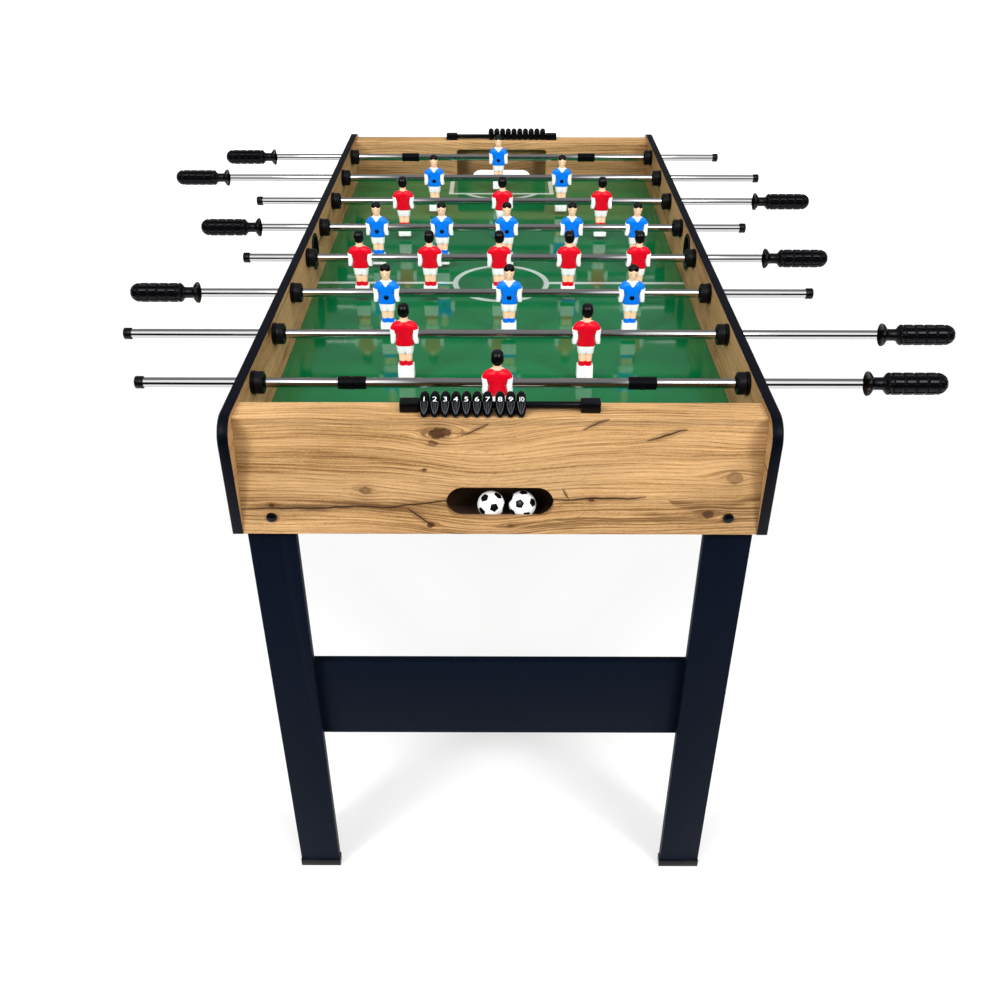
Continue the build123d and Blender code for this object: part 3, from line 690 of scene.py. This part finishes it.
def painted(name, colour, rough=0.30):
    """Glossy paint with slight unevenness of tone and sheen."""
    material = finish(name, IOR=1.32, Coat_Weight=0.30, Coat_Roughness=0.06, Coat_IOR=1.35)
    _, _, _, point = place_in(material)
    tone = point.noise(140.0, 2.0)
    thick, thin = tuple(c * 0.86 for c in colour), tuple(min(1.0, c * 1.08) for c in colour)
    return drive(material, bump=point.noise(420.0, 2.0), depth=0.00006,
                 Base_Color=tone.mix(thick, thin), Roughness=tone * 0.12 + (rough - 0.06))


skin = painted("painted_skin", (1.0, 0.62, 0.40), 0.42)
hair = painted("painted_hair", (0.0015, 0.0015, 0.002), 0.16)
white = painted("painted_white", (0.84, 0.85, 0.84), 0.38)
shirts = {
    "red": painted("painted_red", (0.60, 0.0010, 0.013)),
    "blue": painted("painted_blue", (0.0008, 0.160, 0.72)),
}
screw_hole_shade = painted("figure_screw_hole_shade", (0.002, 0.002, 0.003), 0.25)
HAIR, SKIN, WHITE, TEAM, SCREW = range(5)


def outline(width, depth, z, shift=0.0, power=2.4, count=40):
    """Level ring of a rounded section, in mm: its width, depth, height and shift in Y."""
    ring = []
    for i in range(count):
        angle = 2 * math.pi * i / count
        c, s = math.cos(angle), math.sin(angle)
        ring.append(Vector((
            width / 2 * math.copysign(abs(c) ** (2 / power), c),
            depth / 2 * math.copysign(abs(s) ** (2 / power), s) + shift, z)))
    return ring


def skin_over(shape, rings, paint, close=True, move=None):
    """Skin a row of rings in a bmesh; paint is one material index or a function of the face's middle."""
    rows = [[shape.verts.new((move @ p if move else p) * MM) for p in ring] for ring in rings]
    faces = []
    for first, second in zip(rows, rows[1:]):
        for i in range(len(first)):
            j = (i + 1) % len(first)
            faces.append(shape.faces.new((first[i], first[j], second[j], second[i])))
    if close:
        faces.append(shape.faces.new(list(reversed(rows[0]))))
        faces.append(shape.faces.new(rows[-1]))
    for face in faces:
        face.material_index = paint(face.calc_center_median() / MM) if callable(paint) else paint
    return faces


def domed(width, depth, low, high, shift=0.0, steps=12, power=2.1):
    """Rings of an egg between two heights."""
    rings = []
    for i in range(steps + 1):
        angle = -math.pi / 2 + math.pi * (0.04 + 0.92 * i / steps)
        z = (low + high) / 2 + (high - low) / 2 * math.sin(angle)
        rings.append(outline(width * math.cos(angle), depth * math.cos(angle), z, shift, power))
    return rings


def blended(rows, steps, count=64, shift=0.0):
    """Rings through (width, depth, height, roundness) rows, with steps rings for each gap."""
    rings = []
    for first, second in zip(rows, rows[1:]):
        for k in range(steps):
            t = k / steps
            w, d, z, p = (a + (b - a) * t for a, b in zip(first, second))
            rings.append(outline(w, d, z, shift, p, count))
    w, d, z, p = rows[-1]
    return rings + [outline(w, d, z, shift, p, count)]


def shoulder_hem(rings):
    """Lift the hem of the sleeves so that it slopes up from the armpits."""
    for row, ring in enumerate(rings):
        fade = max(0.0, 1.0 - row / 6.0)
        for p in ring:
            p.z += fade * 3.6 * min(1.0, max(0.0, (abs(p.x) - 10.5) / 7.0))
    return rings


def parted(ring, pinch):
    """Press a ring in at its middle, front and back, as between two legs."""
    for p in ring:
        p.y *= 1 - pinch * math.exp(-(p.x / 1.7) ** 2)
    return ring


def figure_mesh():
    """A player on a rod along X through the origin, facing -Y, feet down; sizes in mm."""
    shape = bmesh.new()

    def hair_paint(p):
        return HAIR if p.z > 24.3 + 5.5 * max(0.0, min(1.0, (1.0 - p.y) / 3.0)) else SKIN

    skin_over(shape, domed(15.6, 15.4, 22.8, 42.0, 1.3, 20), hair_paint)

    def face_paint(p):
        fringe = 34.2 + 2.0 * math.exp(-(p.x / 1.8) ** 2)
        return HAIR if p.z > fringe else SKIN

    face = blended(((5.6, 6.0, 20.4, 2.2), (8.0, 8.6, 21.2, 2.3), (10.2, 11.0, 23.6, 2.3),
                    (12.4, 12.6, 27.0, 2.2), (14.2, 13.6, 30.6, 2.1), (15.0, 14.2, 33.6, 2.1),
                    (14.9, 14.0, 36.6, 2.1), (13.2, 12.2, 39.2, 2.0), (9.0, 8.0, 41.2, 2.0),
                    (3.0, 2.6, 41.9, 2.0)), 5, 56, -1.2)
    skin_over(shape, face, face_paint)
    for side in (-1, 1):
        eye, brow = domed(1.7, 1.0, 30.0, 30.9, -7.55, 6), domed(3.2, 1.6, 31.3, 32.5, -7.3, 6)
        skin_over(shape, eye, HAIR, move=Matrix.Translation((side * 2.9, 0, 0)))
        skin_over(shape, brow, SKIN, move=Matrix.Translation((side * 3.0, 0, 0)))
    nose = [outline(1.3, 1.4, 31.6, -7.4), outline(2.0, 2.6, 28.8, -7.5), outline(2.9, 3.0, 27.7, -7.2),
            outline(1.6, 1.4, 27.0, -6.8)]
    skin_over(shape, nose, SKIN)
    skin_over(shape, domed(3.6, 1.5, 24.6, 25.5, -6.1, 6), SKIN)
    neck = [outline(12.6, 11.4, 16.0, 0.6), outline(10.8, 10.2, 18.4, 0.6), outline(10.2, 9.8, 21.0, 0.6),
            outline(10.6, 10.0, 25.0, 0.6)]
    skin_over(shape, neck, SKIN)

    def shirt_paint(p):
        along_v = p.z - 11.6 - 1.30 * abs(p.x)
        if p.y < -2.0 and along_v > 2.6:
            return SKIN if p.z < 18.4 else WHITE
        if p.y < -2.0 and along_v > 0.0:
            return WHITE
        return WHITE if p.z > 18.0 and p.y < 0.0 else TEAM

    trunk = blended(((22.6, 15.2, -14.0, 3.2), (24.0, 16.6, -13.6, 3.0), (24.2, 17.2, -12.0, 3.0),
                     (23.6, 17.4, -8.0, 2.8), (22.6, 17.8, -3.0, 2.7), (22.4, 18.0, 1.0, 2.6),
                     (24.0, 18.2, 4.0, 2.5), (27.0, 18.2, 8.0, 2.4)), 3, 64)
    skin_over(shape, trunk, TEAM)
    shoulders = blended(((33.6, 13.0, 1.6, 2.3), (35.8, 15.0, 1.9, 2.3), (36.5, 16.2, 3.2, 2.3),
                         (36.7, 17.2, 6.0, 2.3), (35.9, 17.8, 9.0, 2.25), (33.6, 17.8, 12.0, 2.2),
                         (29.4, 16.6, 14.8, 2.15), (23.4, 14.6, 16.8, 2.1), (17.0, 12.6, 18.1, 2.1),
                         (13.2, 11.4, 18.8, 2.1), (12.2, 10.6, 19.3, 2.1)), 4, 88)
    skin_over(shape, shoulder_hem(shoulders), shirt_paint)

    for side in (-1, 1):
        arm = blended(((5.2, 11.6, -10.9, 3.0), (6.5, 13.6, -10.5, 3.0), (7.0, 14.4, -9.0, 3.0),
                       (7.9, 15.0, -5.0, 3.0), (8.4, 15.2, -1.0, 3.0), (8.4, 15.2, 3.0, 3.0),
                       (8.0, 14.8, 8.0, 2.8)), 3, 48)
        for ring in arm:
            reach = max(p.x for p in ring)
            for p in ring:
                p.x = side * (p.x + 18.4 - reach)
        skin_over(shape, arm, WHITE)

    shorts = [parted(outline(w, d, z, 0.0, 2.8), pinch) for w, d, z, pinch in (
        (19.0, 12.0, -25.2, 0.40), (20.6, 13.6, -25.0, 0.34), (21.2, 14.2, -23.6, 0.22),
        (22.2, 15.0, -19.0, 0.12), (23.6, 15.8, -14.6, 0.04), (23.4, 15.6, -13.0, 0.0))]
    skin_over(shape, shorts, WHITE)
    legs = [parted(outline(w, d, z, 0.0, 2.8), 0.50) for w, d, z in (
        (16.6, 10.0, -37.5), (17.2, 10.6, -34.0), (18.0, 11.4, -29.0), (18.4, 11.8, -24.6))]
    skin_over(shape, legs, SKIN)
    socks = [parted(outline(w, d, z, 0.0, 2.8), 0.46) for w, d, z in (
        (14.0, 9.0, -44.6), (16.4, 11.2, -43.6), (17.6, 12.2, -41.6), (17.7, 12.2, -38.4),
        (17.5, 11.8, -36.4), (16.4, 10.6, -36.1))]
    skin_over(shape, socks, TEAM)
    block = [outline(w, d, z, 0.0, 9.0) for w, d, z in (
        (20.6, 13.6, -60.0), (21.8, 14.8, -59.4), (21.9, 14.9, -57.0), (21.6, 14.6, -48.0),
        (21.2, 14.2, -43.4), (20.2, 13.2, -42.8))]
    skin_over(shape, block, WHITE)
    # A black disc on the front below the rod stands for the screw's hole: the screw head with painted
    # shade of the hole.
    recess = [outline(size, size, depth, 0.0, 2.0, 24) for size, depth in
              ((7.0, 8.4), (6.9, 8.98), (5.8, 9.08), (5.0, 8.93))]
    turn = Matrix.Translation((0, 0, -3.4)) @ Matrix.Rotation(math.radians(90), 4, "X")
    skin_over(shape, recess, SCREW, move=turn)
    bmesh.ops.recalc_face_normals(shape, faces=shape.faces)
    mesh = bpy.data.meshes.new("figure")
    shape.to_mesh(mesh)
    shape.free()
    return mesh


figure_shape = figure_mesh()
half_figure = 18.5 * MM
for number in rod_numbers:
    node = f"rod_{number}_players"
    low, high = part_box(node)
    axis = middle_of(f"rod_{number}_tube")
    team = "blue" if number in blue_rods else "red"
    facing = Matrix.Identity(4) if team == "blue" else half_turn
    count = figures_on_rod[number - 1]
    step = (high.x - low.x - 2 * half_figure) / max(1, count - 1)
    stances = []
    for i in range(count):
        place = Matrix.Translation((low.x + half_figure + step * i, axis.y, axis.z)) @ facing
        stances.append((figure_shape, place))
    # The disc is black, as painted shade of the screw's hole, on the blue figures; the red ones give it
    # their shirt colour.
    paints = [hair, skin, white, shirts[team], screw_hole_shade if team == "blue" else shirts[team]]
    stand_for(joined(f"rod_{number}_{team}_figures", stances, paints), node)

# ---- Scorers ------------------------------------------------------------------------------------
# Ten moulded counters on a bar at each end: domed at the back, with a shield-shaped front that
# has a raised rim, coloured paler grey as a painted highlight, and numbered 1 to 10 in white above the
# shield.

numeral_white = painted("numeral_white", (0.85, 0.85, 0.85), 0.4)
# Paler grey for the shield rims on black plastic: a painted highlight along each rim.
rim_painted_highlight = painted("rim_painted_highlight", (0.085, 0.090, 0.105), 0.3)
bead_side = (
    (-16.6, 0.5), (-21.0, 0.9), (-21.4, 3.4), (-20.0, 6.4), (-14.6, 12.6), (-12.6, 15.4), (-10.0, 17.6),
    (-5.2, 20.4), (-1.0, 21.4), (3.4, 21.3), (7.2, 19.4), (8.7, 16.0), (8.7, 11.0), (8.7, 3.0),
    (7.8, 0.7), (5.0, 0.5),
)
BEAD_WIDTH, BAR_RADIUS, BAR_HEIGHT, BAR_TO_BACK = 10.9, 4.05, 6.0, 8.5


def bead_mesh():
    """One counter, bored for the bar; its bar along X through the origin, its nose towards -Y."""
    curve = bpy.data.curves.new("bead_side", "CURVE")
    curve.dimensions, curve.resolution_u = "3D", 5
    spline = curve.splines.new("NURBS")
    spline.points.add(len(bead_side) - 1)
    for point, (y, z) in zip(spline.points, bead_side):
        point.co = (0, y, z, 1)
    spline.order_u, spline.use_cyclic_u = 3, True
    drawn = link(bpy.data.objects.new("bead_side", curve))
    bpy.context.view_layer.update()
    path = bpy.data.meshes.new_from_object(drawn.evaluated_get(bpy.context.evaluated_depsgraph_get()))
    side = [v.co.copy() for v in path.vertices]
    bpy.data.objects.remove(drawn)
    centre = Vector((0, -2.5, 9.0))
    shape = bmesh.new()
    rows = []
    slices, flank = 16, math.radians(84)
    for i in range(slices + 1):
        angle = flank * (2 * i / slices - 1)
        x = BEAD_WIDTH / 2 * math.sin(angle) / math.sin(flank)
        row = []
        for p in side:
            pointed = max(0.0, min(1.0, (-11.5 - p.y) / 6.0))
            scale = math.cos(angle) ** (0.42 + 0.16 * pointed)
            row.append(shape.verts.new((centre + (p - centre) * scale + Vector((x, 0, 0))) * MM))
        rows.append(row)
    for first, second in zip(rows, rows[1:]):
        for i in range(len(first)):
            j = (i + 1) % len(first)
            shape.faces.new((first[i], first[j], second[j], second[i]))
    shape.faces.new(list(reversed(rows[0])))
    shape.faces.new(rows[-1])
    bmesh.ops.recalc_face_normals(shape, faces=shape.faces)
    mesh = bpy.data.meshes.new("bead")
    shape.to_mesh(mesh)
    shape.free()
    bead = link(bpy.data.objects.new("bead", mesh))
    bore = link(bpy.data.objects.new("bore", turned_mesh("bore", (
        (-8 * MM, 0), (-8 * MM, BAR_RADIUS * MM), (8 * MM, BAR_RADIUS * MM), (8 * MM, 0)), 40)))
    bore.location = (0, 0, BAR_HEIGHT * MM)
    drilled = bead.modifiers.new("drilled", "BOOLEAN")
    drilled.object, drilled.solver = bore, "EXACT"
    bake_modifiers(bead, 50)
    result = bead.data
    bpy.data.objects.remove(bead)
    bpy.data.objects.remove(bore)
    return result


def laid_on_counter(mesh, face, lift, thickness):
    """The flat mesh projected from the given plane onto a counter's front and thickened."""
    fine = bmesh.new()
    fine.from_mesh(mesh)
    bmesh.ops.triangulate(fine, faces=fine.faces)
    bmesh.ops.subdivide_edges(fine, edges=fine.edges, cuts=3, use_grid_fill=True)
    fine.to_mesh(mesh)
    fine.free()
    counter = link(bpy.data.objects.new("counter", bead_shape))
    laid = link(bpy.data.objects.new("laid", mesh))
    laid.matrix_world = face @ Matrix.Translation((0, 0, 8 * MM))
    wrap = laid.modifiers.new("laid_on", "SHRINKWRAP")
    wrap.target, wrap.wrap_method, wrap.offset = counter, "PROJECT", lift
    wrap.use_project_z, wrap.use_negative_direction, wrap.use_positive_direction = True, True, False
    thick = laid.modifiers.new("raised", "SOLIDIFY")
    thick.thickness, thick.offset = thickness, -1
    bake_modifiers(laid, 40)
    mesh = laid.data
    mesh.transform(laid.matrix_world)
    bpy.data.objects.remove(laid)
    bpy.data.objects.remove(counter)
    return mesh


def shield_rim():
    """Thin raised rim of the shield on a counter's front, open under the numeral; it takes the paler grey
    of a painted highlight.
    """
    half = ((-4.1, 6.6), (-4.15, 3.4), (-3.7, 0.2), (-2.7, -3.2), (-1.4, -6.2), (0.0, -8.0))
    path = half + tuple((-x, y) for x, y in reversed(half[:-1]))
    ribbon, ribbon_width = bmesh.new(), 0.42
    rows = []
    for i, (x, y) in enumerate(path):
        before, after = path[max(0, i - 1)], path[min(len(path) - 1, i + 1)]
        run = Vector((after[0] - before[0], after[1] - before[1])).normalized()
        rows.append([ribbon.verts.new(((x - k * run.y) * MM, (y + k * run.x) * MM, 0))
                     for k in (0.0, ribbon_width)])
    for first, second in zip(rows, rows[1:]):
        ribbon.faces.new((first[0], second[0], second[1], first[1]))
    mesh = bpy.data.meshes.new("shield_rim")
    ribbon.to_mesh(mesh)
    ribbon.free()
    face = Matrix.Translation((0, -15.2 * MM, 11.2 * MM)) @ Matrix.Rotation(math.radians(53), 4, "X")
    rim = laid_on_counter(mesh, face, 0.40 * MM, 0.55 * MM)
    # The rim takes the second slot, the paler grey of the painted highlight.
    for polygon in rim.polygons:
        polygon.material_index = 1
    return rim


def numeral(text, size, face):
    """Raised numeral laid on a counter's slope, heavy and wide."""
    curve = bpy.data.curves.new("numeral", "FONT")
    curve.body, curve.size = text, size
    curve.align_x, curve.align_y = "CENTER", "CENTER"
    curve.offset, curve.resolution_u = size * -0.012, 4
    curve.space_character = 0.86
    typed = link(bpy.data.objects.new("numeral", curve))
    bpy.context.view_layer.update()
    mesh = bpy.data.meshes.new_from_object(typed.evaluated_get(bpy.context.evaluated_depsgraph_get()))
    bpy.data.objects.remove(typed)
    mesh.transform(Matrix.Scale(1.42 if len(text) == 1 else 0.90, 4, (1, 0, 0)))
    return laid_on_counter(mesh, face, 0.22 * MM, 0.30 * MM)


bead_shape = bead_mesh()
rim_shape = shield_rim()
rail_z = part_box("top_rails")[1].z


def counters(node, name, texts, turn=Matrix.Identity(4)):
    """A group of counters on their bar and, as a piece of their own, their numerals."""
    low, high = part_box(node)
    width = BEAD_WIDTH * MM
    step = (high.x - low.x - width) / (len(texts) - 1)
    far = turn != Matrix.Identity(4)
    bar_y = low.y + BAR_TO_BACK * MM if far else high.y - BAR_TO_BACK * MM
    slope = Matrix.Translation((0, -9.5 * MM, 17.9 * MM)) @ Matrix.Rotation(math.radians(35), 4, "X")
    beads, numerals = [], []
    for i, text in enumerate(texts):
        x = high.x - width / 2 - step * i if far else low.x + width / 2 + step * i
        place = Matrix.Translation((x, bar_y, rail_z)) @ turn
        beads += [(bead_shape, place), (rim_shape, place)]
        numerals.append((numeral(text, 8.2 * MM, slope), place))
    stand_for(joined(name, beads, [plastic, rim_painted_highlight]), node)
    digits = joined(name.replace("counters", "numerals"), numerals, [numeral_white])
    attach(digits, body_of(node))


counters("near_scorer_beads_1_to_7", "near_counters_1_to_7", [str(n) for n in range(1, 8)])
counters("near_scorer_beads_8_to_10", "near_counters_8_to_10", ["8", "9", "10"])
counters("far_scorer_beads", "far_counters", [str(n) for n in range(1, 11)], half_turn)

# ---- Bolt caps ----------------------------------------------------------------------------------
# Round black plastic caps, slightly domed, pressed over the heads of the leg bolts: one on the end
# panel and one on the side panel at each corner.

cap_profile = ((0.0, 6.0), (1.6, 6.0), (2.6, 5.3), (3.2, 3.4), (3.4, 0.0))
cap_mesh = turned_mesh("bolt_cap", [(a * MM, r * MM) for a, r in cap_profile], 40)
low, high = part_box("bolt_caps")
bolt_z = (low.z + high.z) / 2
on_side_x, on_side_y = high.x - 4.0 * MM, 571.0 * MM
on_end_x, on_end_y = 258.8 * MM, high.y - 4.2 * MM
cap_places = []
for sx in (-1, 1):
    for sy in (-1, 1):
        end_turn = Matrix.Rotation(math.radians(90 * sy), 4, "Z")
        side_turn = Matrix.Identity(4) if sx > 0 else half_turn
        on_end = Matrix.Translation((sx * on_end_x, sy * on_end_y, bolt_z))
        on_side = Matrix.Translation((sx * on_side_x, sy * on_side_y, bolt_z))
        cap_places += [(cap_mesh, on_end @ end_turn), (cap_mesh, on_side @ side_turn)]
stand_for(joined("domed_bolt_caps", cap_places, [plastic]), "bolt_caps")

# ---- Balls --------------------------------------------------------------------------------------
# Two small hard plastic balls with the classic pattern of black pentagons and white hexagons,
# lying in the near tray.

ball_white = painted("ball_white", (0.95, 0.95, 0.95), 0.25)
ball_black = painted("ball_black", (0.003, 0.003, 0.004), 0.25)


def ball_mesh(radius):
    """Truncated icosahedron rounded to a ball, its pentagons black."""
    shape = bmesh.new()
    bmesh.ops.create_icosphere(shape, subdivisions=1, radius=1.0)
    bmesh.ops.bevel(shape, geom=list(shape.verts), offset=1.0514622 / 3, offset_type="OFFSET",
                    affect="VERTICES", segments=1)
    for face in shape.faces:
        face.material_index = 1 if len(face.verts) == 5 else 0
    for face in list(shape.faces):
        paint = face.material_index
        middle = face.calc_center_median()
        inner = [shape.verts.new(middle.lerp(v.co, 0.93)) for v in face.verts]
        outer = list(face.verts)
        shape.faces.remove(face)
        for i in range(len(outer)):
            j = (i + 1) % len(outer)
            rim = shape.faces.new((outer[i], outer[j], inner[j], inner[i]))
            rim.material_index = paint
        centre = shape.verts.new(middle)
        for i in range(len(inner)):
            fan = shape.faces.new((inner[i], inner[(i + 1) % len(inner)], centre))
            fan.material_index = paint
    bmesh.ops.subdivide_edges(shape, edges=shape.edges, cuts=3, use_grid_fill=True)
    for v in shape.verts:
        v.co = v.co.normalized() * radius
    bmesh.ops.recalc_face_normals(shape, faces=shape.faces)
    mesh = bpy.data.meshes.new("ball")
    shape.to_mesh(mesh)
    shape.free()
    return mesh


ball_shape = ball_mesh(15.75 * MM)
for number, (tilt, roll, spin) in ((1, (0.5, 0.3, 0.9)), (2, (0.9, -0.4, 0.2))):
    node = f"ball_{number}"
    lie = Matrix.Rotation(spin, 4, "Z") @ Matrix.Rotation(tilt, 4, "X") @ Matrix.Rotation(roll, 4, "Y")
    place = Matrix.Translation(middle_of(node)) @ lie
    stand_for(joined(f"patterned_ball_{number}", [(ball_shape, place)], [ball_white, ball_black]), node)
